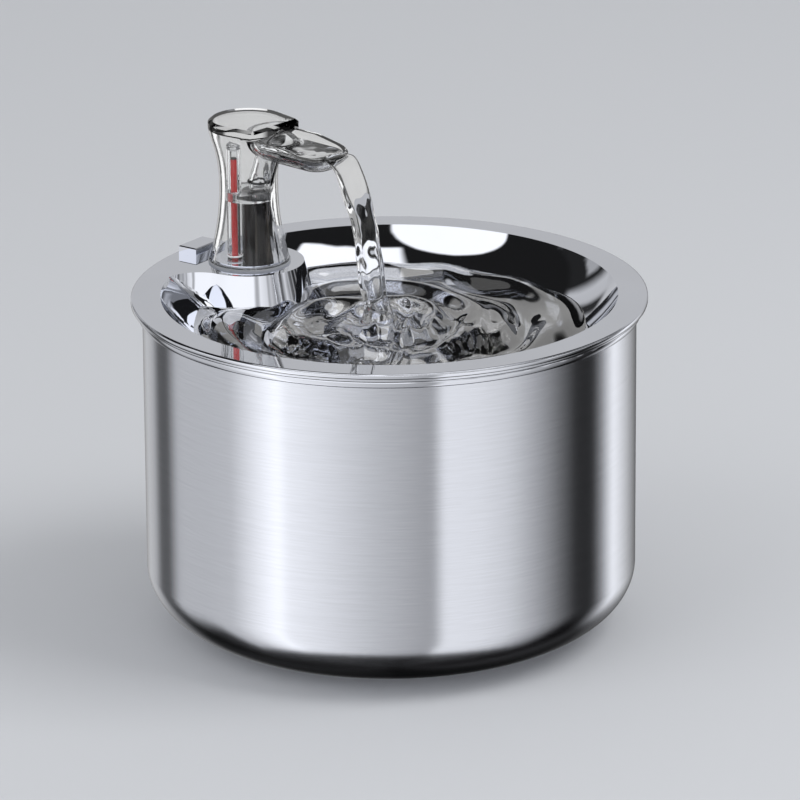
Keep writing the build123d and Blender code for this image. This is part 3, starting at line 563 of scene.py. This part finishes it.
def carbon_fleece(sheet):
    """White fleece with carbon grains that show through."""
    sockets = {"Vector": sheet.place(), "Scale": 700.0}
    grains = sheet.node("ShaderNodeTexVoronoi", {}, sockets, "Distance")
    fluff = sheet.noise(1500.0, detail=5.0)
    speck = grains.step(0.42, 0.18)
    return {
        "Base Color": sheet.mix(speck * 0.8, rgb((0.62, 0.63, 0.62)), rgb((0.05, 0.05, 0.055))),
        "Roughness": 0.95,
        "Sheen Weight": 0.3,
        "Normal": sheet.bump(fluff + speck * 0.5, 0.8, 0.0003),
    }


def ferrite(sheet):
    """Moulded ferrite magnet."""
    grain = sheet.noise(1400.0, detail=4.0)
    return {
        "Base Color": sheet.mix(grain, rgb((0.06, 0.06, 0.065)), rgb((0.14, 0.14, 0.15))),
        "Metallic": 0.6,
        "Roughness": grain * 0.25 + 0.35,
    }


def water(colour, gleam=0.0):
    """A finish for clean water, with the finest shiver on it. The gleam adds to what it mirrors."""
    def sockets(sheet):
        shiver = sheet.noise(260.0, detail=1.0)
        return {
            "Base Color": rgb(colour),
            "Roughness": 0.0,
            "IOR": WATER_IOR,
            "Transmission Weight": 1.0,
            "Coat Weight": gleam,
            "Coat Roughness": 0.0,
            "Coat IOR": GLEAM_IOR,
            "Normal": sheet.bump(shiver, 0.03, 0.0002),
        }
    return sockets


def dress(names, material):
    """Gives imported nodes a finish."""
    for name in names:
        slots = NODES[name].data.materials
        slots.clear()
        slots.append(material)


# ---------------------------------------------------------------- water
def skin(name, rings, material):
    """A closed smooth body through rings of points, its two ends closed flat."""
    count = len(rings[0])
    last = (len(rings) - 1) * count
    faces = []
    for here in range(0, last, count):
        for j in range(count):
            k = (j + 1) % count
            faces.append((here + j, here + k, here + count + k, here + count + j))
    faces += [tuple(range(count)), tuple(range(last, last + count))]
    mesh = bpy.data.meshes.new(name)
    mesh.from_pydata([point for ring in rings for point in ring], [], faces)
    body = bpy.data.objects.new(name, mesh)
    bpy.context.collection.objects.link(body)
    body.data.materials.append(material)
    bpy.ops.object.select_all(action="DESELECT")
    body.select_set(True)
    bpy.context.view_layer.objects.active = body
    bpy.ops.object.mode_set(mode="EDIT")
    bpy.ops.mesh.select_all(action="SELECT")
    bpy.ops.mesh.normals_make_consistent(inside=False)
    bpy.ops.object.mode_set(mode="OBJECT")
    bpy.ops.object.shade_smooth_by_angle(angle=SMOOTH_ANGLE)
    return body


def bowl_radius(depth):
    """The bowl's radius at a depth below the flange."""
    return BOWL_FLAT_R + sqrt(BOWL_R**2 - (BOWL_R - BOWL_DEPTH + depth) ** 2)


def spout_point(ahead, aside, height):
    """A point by its place ahead of and aside from the tap's axis and over the flange."""
    across = Vector((-SPOUT_WAY.y, SPOUT_WAY.x, 0))
    return Vector((TAP_AXIS.x, TAP_AXIS.y, RIM_Z + height)) + SPOUT_WAY * ahead + across * aside


def cloud(spot, size, fineness):
    """Smooth noise that reaches about that size above and below 0."""
    return size * noise.noise(spot * fineness)


def hump(distance, width):
    """1 in the middle of a smooth hump, and nearly 0 beyond its width."""
    return exp(-((distance / width) ** 2))


def ripples(x, y):
    """Height of the pool's surface about its level, as a multiple of the ripple height."""
    foot = spout_point(STREAM_REACH, 0, 0)
    place = Vector((x, y, 0)) * 1000
    spot = Vector((place.dot(RIGHTWARDS), DEPTH_SHARE * place.dot(TOWARDS), 0))
    away = hypot(x - foot.x, y - foot.y) * 1000
    turn = atan2(y - foot.y, x - foot.x)
    from_seat = hypot(x - TAP_AXIS.x, y - TAP_AXIS.y) - SEAT_R
    calm = min(1, max(0, from_seat) / CALM_EDGE)
    warp = cloud(spot, *WARP)

    mound = MOUND_HEIGHT * hump(away, MOUND_WIDTH)
    rings = RING_HEIGHT * cos((away + warp) * 2 * pi / RING_LENGTH) * exp(-away / RING_FADE)
    fold = 1 - 2 * abs(noise.noise(spot * FOLD_FINENESS + Vector((warp * FOLD_WARP, 0, 0))))
    loop = 1 - 3 * abs(noise.noise(spot * LOOP_FINENESS + LOOP_SHIFT))
    rough_side = 0.5 + 0.5 * cos(turn - ROUGH_SIDE_TURN)
    rough = hump(away, ROUGH_REACH + ROUGH_SIDE_REACH * rough_side)
    folds = (FOLD_HEIGHT * fold + LOOP_HEIGHT * loop) * rough * calm
    swirl = cos(turn - away * SWIRL_TWIST + warp * SWIRL_WARP) * min(1, away / SWIRL_GROWTH)
    crescent = hump(away - CRESCENT_AWAY + cloud(spot, *CRESCENT_WARP), CRESCENT_WIDTH)
    crescent = CRESCENT_HEIGHT * crescent * (1 - CRESCENT_LOSS * rough_side)
    return mound + rings + folds + SWIRL_HEIGHT * swirl * calm + crescent


def level_ring(radius, sides, height_at):
    """A ring of points round the dish's axis, its heights given by a function of x and y."""
    ring = []
    for j in range(sides):
        x, y = radius * cos(2 * pi * j / sides), radius * sin(2 * pi * j / sides)
        ring.append((x, y, height_at(x, y)))
    return ring


def pool_rings(drop, height):
    """Rings of the pool: its rippled top from the middle outwards, then back along the bowl."""
    edge = bowl_radius(drop + SUNK)
    rings = []
    for i in range(1, POOL_RINGS + 1):
        radius = edge * i / POOL_RINGS
        calm = min(1, (edge - radius) / CALM_EDGE) ** 0.5 if i < POOL_RINGS else 0
        swell = height * (CALM_SHARE + (1 - CALM_SHARE) * calm)
        rings.append(level_ring(radius, POOL_SIDES, lambda x, y: RIM_Z - drop + swell * ripples(x, y)))
    for i in range(1, POOL_BED_RINGS + 1):
        depth = drop + (BOWL_DEPTH - drop) * i / POOL_BED_RINGS
        radius = bowl_radius(depth) + SUNK if i < POOL_BED_RINGS else bowl_radius(depth) / 2
        rings.append(level_ring(radius, POOL_SIDES, lambda x, y: RIM_Z - depth - SUNK))
    return rings


def trough_rings():
    """Rings of the water in the spout: rippled above, with a dome over the inlet, round below."""
    rings = []
    start, end = TROUGH_START, TROUGH_END
    level = (TROUGH_RIM - TROUGH_LEVEL) / TROUGH_DEPTH
    reach = TROUGH_R * sqrt(1 - level**2)
    for i in range(TROUGH_STATIONS):
        along = 0.5 - 0.5 * cos(pi * (i + 0.5) / TROUGH_STATIONS)
        ahead = start - reach + (end - start + 2 * reach) * along
        beyond = max(start - ahead, ahead - end, 0)
        half = sqrt(reach**2 - beyond**2)
        ring = []
        for j in range(TROUGH_ACROSS + 1):
            aside = half * cos(pi * j / TROUGH_ACROSS)
            place = Vector((ahead, aside, 0)) * 1000
            away = hypot(ahead - DOME_AT, aside)
            dome = DOME_HEIGHT * exp(-((away / DOME_R) ** 4)) * (1 + cloud(place, *DOME_LUMPS))
            waves = sum(cloud(place, *wave) for wave in TROUGH_WAVES)
            fade = sqrt(1 - cos(pi * j / TROUGH_ACROSS) ** 2)
            ring.append(spout_point(ahead, aside, TROUGH_LEVEL + (dome + waves) * fade))
        for j in range(TROUGH_ACROSS - 1, 0, -1):
            aside = half * cos(pi * j / TROUGH_ACROSS)
            deep = sqrt(max(1 - (aside**2 + beyond**2) / TROUGH_R**2, level**2))
            ring.append(spout_point(ahead, aside, TROUGH_RIM - TROUGH_DEPTH * deep))
        rings.append(ring)
    return rings


def stream_rings(width, bottom):
    """Rings of the falling water: a flat band at the lip, then a rope with a spread foot."""
    rings = []
    fall = LIP_Z - bottom
    falls = [fall * (k / STREAM_STATIONS) ** STREAM_SPACING for k in range(STREAM_STATIONS + 1)]
    for drop in STREAM_IN_SPOUT + falls:
        ahead = LIP_AT + (drop if drop < 0 else sqrt(drop / STREAM_CURVE))
        height = LIP_Z - max(0, drop)
        steep = atan2(2 * STREAM_CURVE * max(0, ahead - LIP_AT), 1)
        down = max(0, drop) / fall
        spread = max(0, down - STREAM_FOOT) / (1 - STREAM_FOOT)
        half_width = width / 2 * (1 - STREAM_NARROWS * down + STREAM_SPREADS * spread)
        half_depth = LIP_DEPTH + ROPE_DEPTH * min(1, down * ROPE_GROWTH) + FOOT_DEPTH * spread
        rough = min(1, LIP_ROUGH + down * ROUGH_GROWTH)
        ring = []
        for j in range(STREAM_SIDES):
            turn = 2 * pi * j / STREAM_SIDES
            round_way = Vector((cos(turn), sin(turn), 0))
            flute = noise.noise(round_way * FLUTES_ROUND + Vector((0, 0, drop * FLUTES_DOWN)))
            lump = noise.noise(round_way * LUMPS_ROUND + Vector((LUMP_SHIFT, 0, drop * LUMPS_DOWN)))
            swell = 1 + (FLUTE_HEIGHT * flute + LUMP_HEIGHT * lump) * rough
            aside = half_width * cos(turn) * swell
            out = half_depth * sin(turn) * swell
            ring.append(spout_point(ahead + out * sin(steep), aside, height + out * cos(steep)))
        rings.append(ring)
    return rings


def seat_cutter():
    """A cone in the shape of the tap's seat, to be cut out of the pool."""
    top = SEAT_R - SUNK
    bpy.ops.mesh.primitive_cone_add(
        vertices=SEAT_CUTTER_SIDES, radius1=top + SEAT_SLOPE * SEAT_CUTTER, radius2=top,
        depth=SEAT_CUTTER, location=(TAP_AXIS.x, TAP_AXIS.y, RIM_Z - SEAT_CUTTER / 2))
    return bpy.context.object


class FOUNTAIN_OT_water(bpy.types.Operator):
    """Fill the dish and the spout, and let the water run"""

    bl_idname = "fountain.water"
    bl_label = "Water"

    def execute(self, context):
        sizes = context.scene.fountain_sizes
        clear = surface("water", water(CLEAR_WATER), True)
        deep = surface("deep_water", water(DEEP_WATER, GLEAM), True)
        pool = skin("dish_water", pool_rings(sizes.water_drop, sizes.ripple_height), deep)
        seat = seat_cutter()
        cut = pool.modifiers.new("seat", "BOOLEAN")
        cut.operation, cut.object, cut.solver = "DIFFERENCE", seat, "EXACT"
        bpy.ops.object.select_all(action="DESELECT")
        bpy.context.view_layer.objects.active = pool
        bpy.ops.object.modifier_apply(modifier=cut.name)
        bpy.data.objects.remove(seat)
        trough = skin("spout_water", trough_rings(), clear)
        foot_level = -sizes.water_drop + sizes.ripple_height * FOOT_RISE
        stream = skin("falling_water", stream_rings(sizes.stream_width, foot_level), clear)
        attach(pool, "dish")
        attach(trough, "tap")
        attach(stream, "tap")
        lip = spout_point(LIP_AT, 0, LIP_Z)
        chord = spout_point(STREAM_REACH, 0, foot_level) - lip
        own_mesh(stream)
        return {"FINISHED"}


# ---------------------------------------------------------------- operators
def add_ring(name, place, radius, thickness):
    """A round ring that lies level, its places kept in the mesh and not in the object."""
    bpy.ops.object.select_all(action="DESELECT")
    bpy.ops.mesh.primitive_torus_add(
        location=place, major_radius=radius, minor_radius=thickness,
        major_segments=TRIM_SIDES, minor_segments=TRIM_SECTION_SIDES)
    bpy.ops.object.transform_apply(location=True, rotation=True, scale=True)
    bpy.ops.object.shade_smooth()
    ring = bpy.context.object
    ring.name = name
    return ring


class FOUNTAIN_OT_steel(bpy.types.Operator):
    """Finish the tank, the dish and the cord's hood in steel"""

    bl_idname = "fountain.steel"
    bl_label = "Steel"

    def execute(self, context):
        dress(["tank"], surface("brushed_steel", brushed_steel))
        dress(["tray", "cord_outlet_cover", "foot_plate"], surface("polished_steel", polished_steel))
        return {"FINISHED"}


class FOUNTAIN_OT_tap(bpy.types.Operator):
    """Finish the tap, its column and its gauge, and add the gauge's collar, white as a painted
    highlight, and the neck's seal
    """

    bl_idname = "fountain.tap"
    bl_label = "Tap and gauge"

    def execute(self, context):
        clear = surface("clear_plastic", clear_plastic(PLASTIC_IOR), True)
        dress(["tap_shell", "spout_trough", "level_tube"], clear)
        dress(["tap_cap"], surface("clear_cap", clear_plastic(CAP_IOR), True))
        dress(["riser_core"], surface("smoky_plastic", smoky_plastic))
        silicone = surface("clear_silicone", clear_silicone, True)
        dress(["waist_seal", "outlet_sleeve", "level_tube_plug"], silicone)
        dress(["foot_gasket"], surface("grey_silicone", moulded((0.34, 0.35, 0.37), 0.3, 0.05)))
        dress(["riser_pipe"], surface("pipe_plastic", moulded((0.55, 0.57, 0.58), 0.3)))
        dress(["float_rod"], surface("red_plastic", red_plastic))
        dress(["float_body"], surface("white_foam", moulded((0.80, 0.80, 0.77), 0.7, 0.6)))
        # a ring round the gauge's tube, coloured white as a painted highlight of its collar
        gauge_ring_place = Vector((TUBE_AXIS.x, TUBE_AXIS.y, RIM_Z + GAUGE_RING_Z))
        gauge_ring = add_ring("gauge_ring_highlight", gauge_ring_place, TUBE_R, GAUGE_RING_THICK)
        gauge_ring.data.materials.append(surface("white_highlight", moulded((0.85, 0.86, 0.87), 0.35, 0.05)))
        seal = add_ring("neck_seal", spout_point(*NECK_SEAL), NECK_R, NECK_SEAL_THICK)
        seal.data.materials.append(surface("black_seal", rubber))
        for ring in (gauge_ring, seal):
            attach(ring, "tap")
        return {"FINISHED"}


class FOUNTAIN_OT_pump(bpy.types.Operator):
    """Finish the filter box, its cartridge and the pump"""

    bl_idname = "fountain.pump"
    bl_label = "Filter box and pump"

    def execute(self, context):
        colours = context.scene.fountain_colours
        dress(["filter_box", "filter_box_lid", "cartridge_frame"],
              surface("box_plastic", moulded(colours.box, 0.35)))
        dress(["pump_housing", "pump_volute", "inlet_grille", "cable_gland"],
              surface("pump_plastic", moulded((0.035, 0.037, 0.04), 0.4)))
        dress(["flow_gate"], surface("gate_plastic", moulded((0.10, 0.25, 0.45), 0.35)))
        dress(["impeller", "front_bush", "rear_bush"],
              surface("white_plastic", moulded((0.80, 0.80, 0.78), 0.3)))
        dress(["rotor_shaft"], surface("ceramic", moulded((0.85, 0.83, 0.78), 0.2, 0.05)))
        dress(["rotor_magnet"], surface("ferrite", ferrite))
        dress(["foam_prefilter"], surface("open_foam", open_foam))
        dress(["carbon_pad"], surface("carbon_fleece", carbon_fleece))
        black = surface("black_rubber", rubber)
        dress([name for name in NODES if name.startswith(("rubber_foot", "suction_cup"))], black)
        return {"FINISHED"}


# ---------------------------------------------------------------- studio
def light_round_the_wall(azimuth):
    """The studio as the upright wall of the tank sees it, from left round to right."""
    stops = [
        (-180, 0.20), (-166, 0.42), (-158, 0.60), (-146, 0.50), (-138, 0.12), (-128, 0.10),
        (-118, 0.58), (-80, 0.62), (-64, 1.08), (-54, 1.36), (-49, 1.10), (-32, 0.92), (-8, 0.64),
        (18, 0.42), (20, 0.45), (25, 0.98), (42, 0.92), (56, 0.78), (72, 0.45), (86, 0.17), (96, 0.03),
        (110, 0.02), (117, 0.30), (128, 1.15), (138, 0.80), (152, 0.42), (166, 0.16), (180, 0.12),
    ]
    return azimuth.ramp([(0.5 + turn / 360, value) for turn, value in stops])


def light_over_the_rim(azimuth):
    """The studio a little above the rim, as the tap's seat and the ripples see it."""
    stops = [
        (-180, 0.54), (-160, 0.54), (-157, 0.03), (-153, 0.03), (-150, 0.54), (-143, 0.58),
        (-137, 0.02), (-108, 0.02), (-100, 1.0), (-40, 1.15), (8, 1.15), (13, 0.48), (17, 0.52),
        (21, 0.98), (34, 0.80), (37, 0.42), (42, 0.66), (48, 0.40), (56, 0.52), (66, 0.04), (76, 1.0),
        (88, 0.6), (104, 0.5), (112, 0.7), (120, 0.05), (136, 0.54), (180, 0.54),
    ]
    return azimuth.ramp([(0.5 + turn / 360, value) for turn, value in stops])


def light_through_glass(turn):
    """The studio behind clear pieces: plain straight ahead, dark and bright where they bend light."""
    stops = [
        (0.0, 0.62), (0.085, 0.62), (0.105, 0.06), (0.165, 0.03), (0.19, 1.1), (0.30, 1.2),
        (0.34, 0.35), (0.48, 0.30), (0.53, 0.03), (0.66, 0.03), (0.70, 1.0), (0.84, 0.9), (1.0, 0.3),
    ]
    return turn.ramp(stops)


def window(value, low, high, blur):
    """1 between low and high, 0 outside, with a smooth change just inside each."""
    return value.step(low, low + blur) * value.step(high, high - blur)


def softbox(across, depth, box):
    """A soft-edged bright window on the ceiling."""
    low, high, light = box
    return window(across, low[0], high[0], BOX_BLUR) * window(depth, low[1], high[1], BOX_BLUR) * light


def light_on_the_ceiling(sheet, right, towards, up):
    """The softboxes, placed by their slopes to the right and towards the camera."""
    height = up.math("MAXIMUM", LEAST_UP)
    across, depth = right / height, towards / height
    from_box = {"X": across - ROUND_BOX_AT[0], "Y": depth - ROUND_BOX_AT[1]}
    away = sheet.length(sheet.node("ShaderNodeCombineXYZ", {}, from_box, "Vector"))
    light = away.step(*ROUND_BOX_EDGE) * ROUND_BOX_LIGHT + CEILING_GREY
    for box in (WINDOW_BOX, FRONT_BOX, SIDE_BOX):
        light = light + softbox(across, depth, box)
    return light.math("MAXIMUM", softbox(across, depth, REAR_BOX))


def streaks_on_the_wall(degrees, tilt):
    """Narrow upright lights at the right, which the tap's seat shows as streaks."""
    waves = (degrees * STREAK_WAVES).math("SINE") * window(degrees, *STREAKS_ACROSS)
    return (waves * tilt.step(*STREAKS_LOW) * STREAK_LIGHT).math("MAXIMUM", 0.0)


def studio_world():
    """The world: a plain pale sky, and for metal and glass the studio with its lamps and screens."""
    world = bpy.data.worlds.new("studio")
    bpy.context.scene.world = world
    sheet = Sheet(world)
    ray = sheet.node("ShaderNodeTexCoord", {}, {}, "Generated")

    def along(way):
        sockets = {0: ray, 1: way}
        return sheet.node("ShaderNodeVectorMath", {"operation": "DOT_PRODUCT"}, sockets, "Value")

    right, towards, up = along(RIGHTWARDS), along(TOWARDS), along(UPWARDS)
    turn = sheet.math("ARCTAN2", right, towards)
    azimuth = turn / (2 * pi) + 0.5
    degrees = turn * (180 / pi)
    tilt = up.math("ARCSINE") * (180 / pi)

    behind = abs(degrees).step(*BEHIND)
    under = tilt.step(*FLOOR_EDGE).math("MAXIMUM", tilt.step(*FLOOR_EDGE_BEHIND) * behind)
    wall = light_round_the_wall(azimuth) * (1.0 - under * FLOOR_DARK)
    wall = wall + streaks_on_the_wall(degrees, tilt)
    screen = window(degrees, *SCREEN_ACROSS) * window(tilt, *SCREEN_UP)
    rim = light_over_the_rim(azimuth) + screen * SCREEN_LIGHT
    overhead = light_on_the_ceiling(sheet, right, towards, up)
    over_wall, over_rim = tilt.step(*WALL_TOP), tilt.step(*RIM_TOP)
    seen = wall * (1.0 - over_wall) + rim * over_wall * (1.0 - over_rim) + overhead * over_rim

    clear = sheet.ray("Is Transmission Ray")
    shiny = sheet.ray("Is Glossy Ray").math("MAXIMUM", clear)
    off_line = along(-CAMERA_WAY).math("ARCCOSINE")
    through = light_through_glass(off_line / pi)
    seen = sheet.mix(clear * tilt.step(*GLASS_TOP), seen, through)
    colour = sheet.mix(shiny, rgb(SKY), seen)
    background = sheet.node("ShaderNodeBackground", {}, {"Color": colour}, "Background")
    sheet.node("ShaderNodeOutputWorld", {}, {"Surface": background}, None)


def floor_paper():
    """The pale floor. Metal and glass look through it to the studio's own lower half."""
    colour = bpy.context.scene.fountain_colours.floor
    material = bpy.data.materials.new("floor_paper")
    sheet = Sheet(material)
    sockets = {"Base Color": rgb(tuple(colour)), "Roughness": 0.8}
    paper = sheet.node("ShaderNodeBsdfPrincipled", {}, sockets, "BSDF")
    clear = sheet.node("ShaderNodeBsdfTransparent", {}, {}, "BSDF")
    shiny = sheet.ray("Is Glossy Ray").math("MAXIMUM", sheet.ray("Is Transmission Ray"))
    shader = sheet.node("ShaderNodeMixShader", {}, {0: shiny, 1: paper, 2: clear}, "Shader")
    sheet.node("ShaderNodeOutputMaterial", {}, {"Surface": shader}, None)
    return material


def add_lamp(name, place, size, watts):
    """A soft lamp that points at the rim's middle and that metal and glass don't show."""
    right, towards, up = place
    place = RIGHTWARDS * right + TOWARDS * towards + UPWARDS * up
    towards_rim = Vector((0, 0, RIM_Z)) - place
    bpy.ops.object.light_add(
        type="AREA", location=place, rotation=towards_rim.to_track_quat("-Z", "Y").to_euler())
    lamp = bpy.context.object
    lamp.name = name
    lamp.data.size = size
    lamp.data.energy = watts
    lamp.visible_glossy = False
    lamp.visible_transmission = False


def add_camera():
    """The camera, aimed a little below and to the right of the rim's middle."""
    place = Vector((0, 0, RIM_Z)) + CAMERA_WAY * CAMERA_DISTANCE
    up = CAMERA_WAY.cross(RIGHTWARDS)
    way = -CAMERA_WAY * LENS_MM + RIGHTWARDS * AIM_RIGHT - up * AIM_DOWN
    turn = way.to_track_quat("-Z", "Y") @ Matrix.Rotation(CAMERA_ROLL, 3, "Z").to_quaternion()
    bpy.ops.object.camera_add(location=place, rotation=turn.to_euler())
    camera = bpy.context.object
    camera.name = "camera"
    camera.data.lens = LENS_MM
    camera.data.sensor_width = SENSOR_MM
    camera.data.clip_end = 50.0
    bpy.context.scene.camera = camera


class FOUNTAIN_OT_studio(bpy.types.Operator):
    """Set up the floor, the world, the lamps and the camera"""

    bl_idname = "fountain.studio"
    bl_label = "Studio"

    def execute(self, context):
        context.scene.view_settings.view_transform = "Standard"
        add_camera()
        studio_world()
        for lamp in LAMPS:
            add_lamp(*lamp)
        bpy.ops.mesh.primitive_plane_add(size=FLOOR_SIZE)
        floor = bpy.context.object
        floor.name = "floor"
        floor.data.materials.append(floor_paper())
        return {"FINISHED"}


class FOUNTAIN_PT_panel(bpy.types.Panel):
    """Lists the fountain's steps"""

    bl_idname = "FOUNTAIN_PT_panel"
    bl_label = "Fountain"
    bl_space_type = "VIEW_3D"
    bl_region_type = "UI"
    bl_category = "Fountain"

    def draw(self, context):
        for group in (context.scene.fountain_sizes, context.scene.fountain_colours):
            for name in group.__annotations__:
                self.layout.prop(group, name)
        for operator in OPERATORS:
            self.layout.operator(operator.bl_idname)


OPERATORS = (
    FOUNTAIN_OT_studio, FOUNTAIN_OT_steel, FOUNTAIN_OT_tap, FOUNTAIN_OT_pump, FOUNTAIN_OT_water)
CLASSES = (FountainSizes, FountainColours, *OPERATORS, FOUNTAIN_PT_panel)


def register():
    for cls in CLASSES:
        bpy.utils.register_class(cls)
    bpy.types.Scene.fountain_sizes = PointerProperty(type=FountainSizes)
    bpy.types.Scene.fountain_colours = PointerProperty(type=FountainColours)


def unregister():
    del bpy.types.Scene.fountain_colours
    del bpy.types.Scene.fountain_sizes
    for cls in reversed(CLASSES):
        bpy.utils.unregister_class(cls)


def main():
    register()
    for operator in OPERATORS:
        group, name = operator.bl_idname.split(".")
        bpy.ops.object.select_all(action="DESELECT")
        getattr(getattr(bpy.ops, group), name)()


if __name__ == "__main__":
    main()
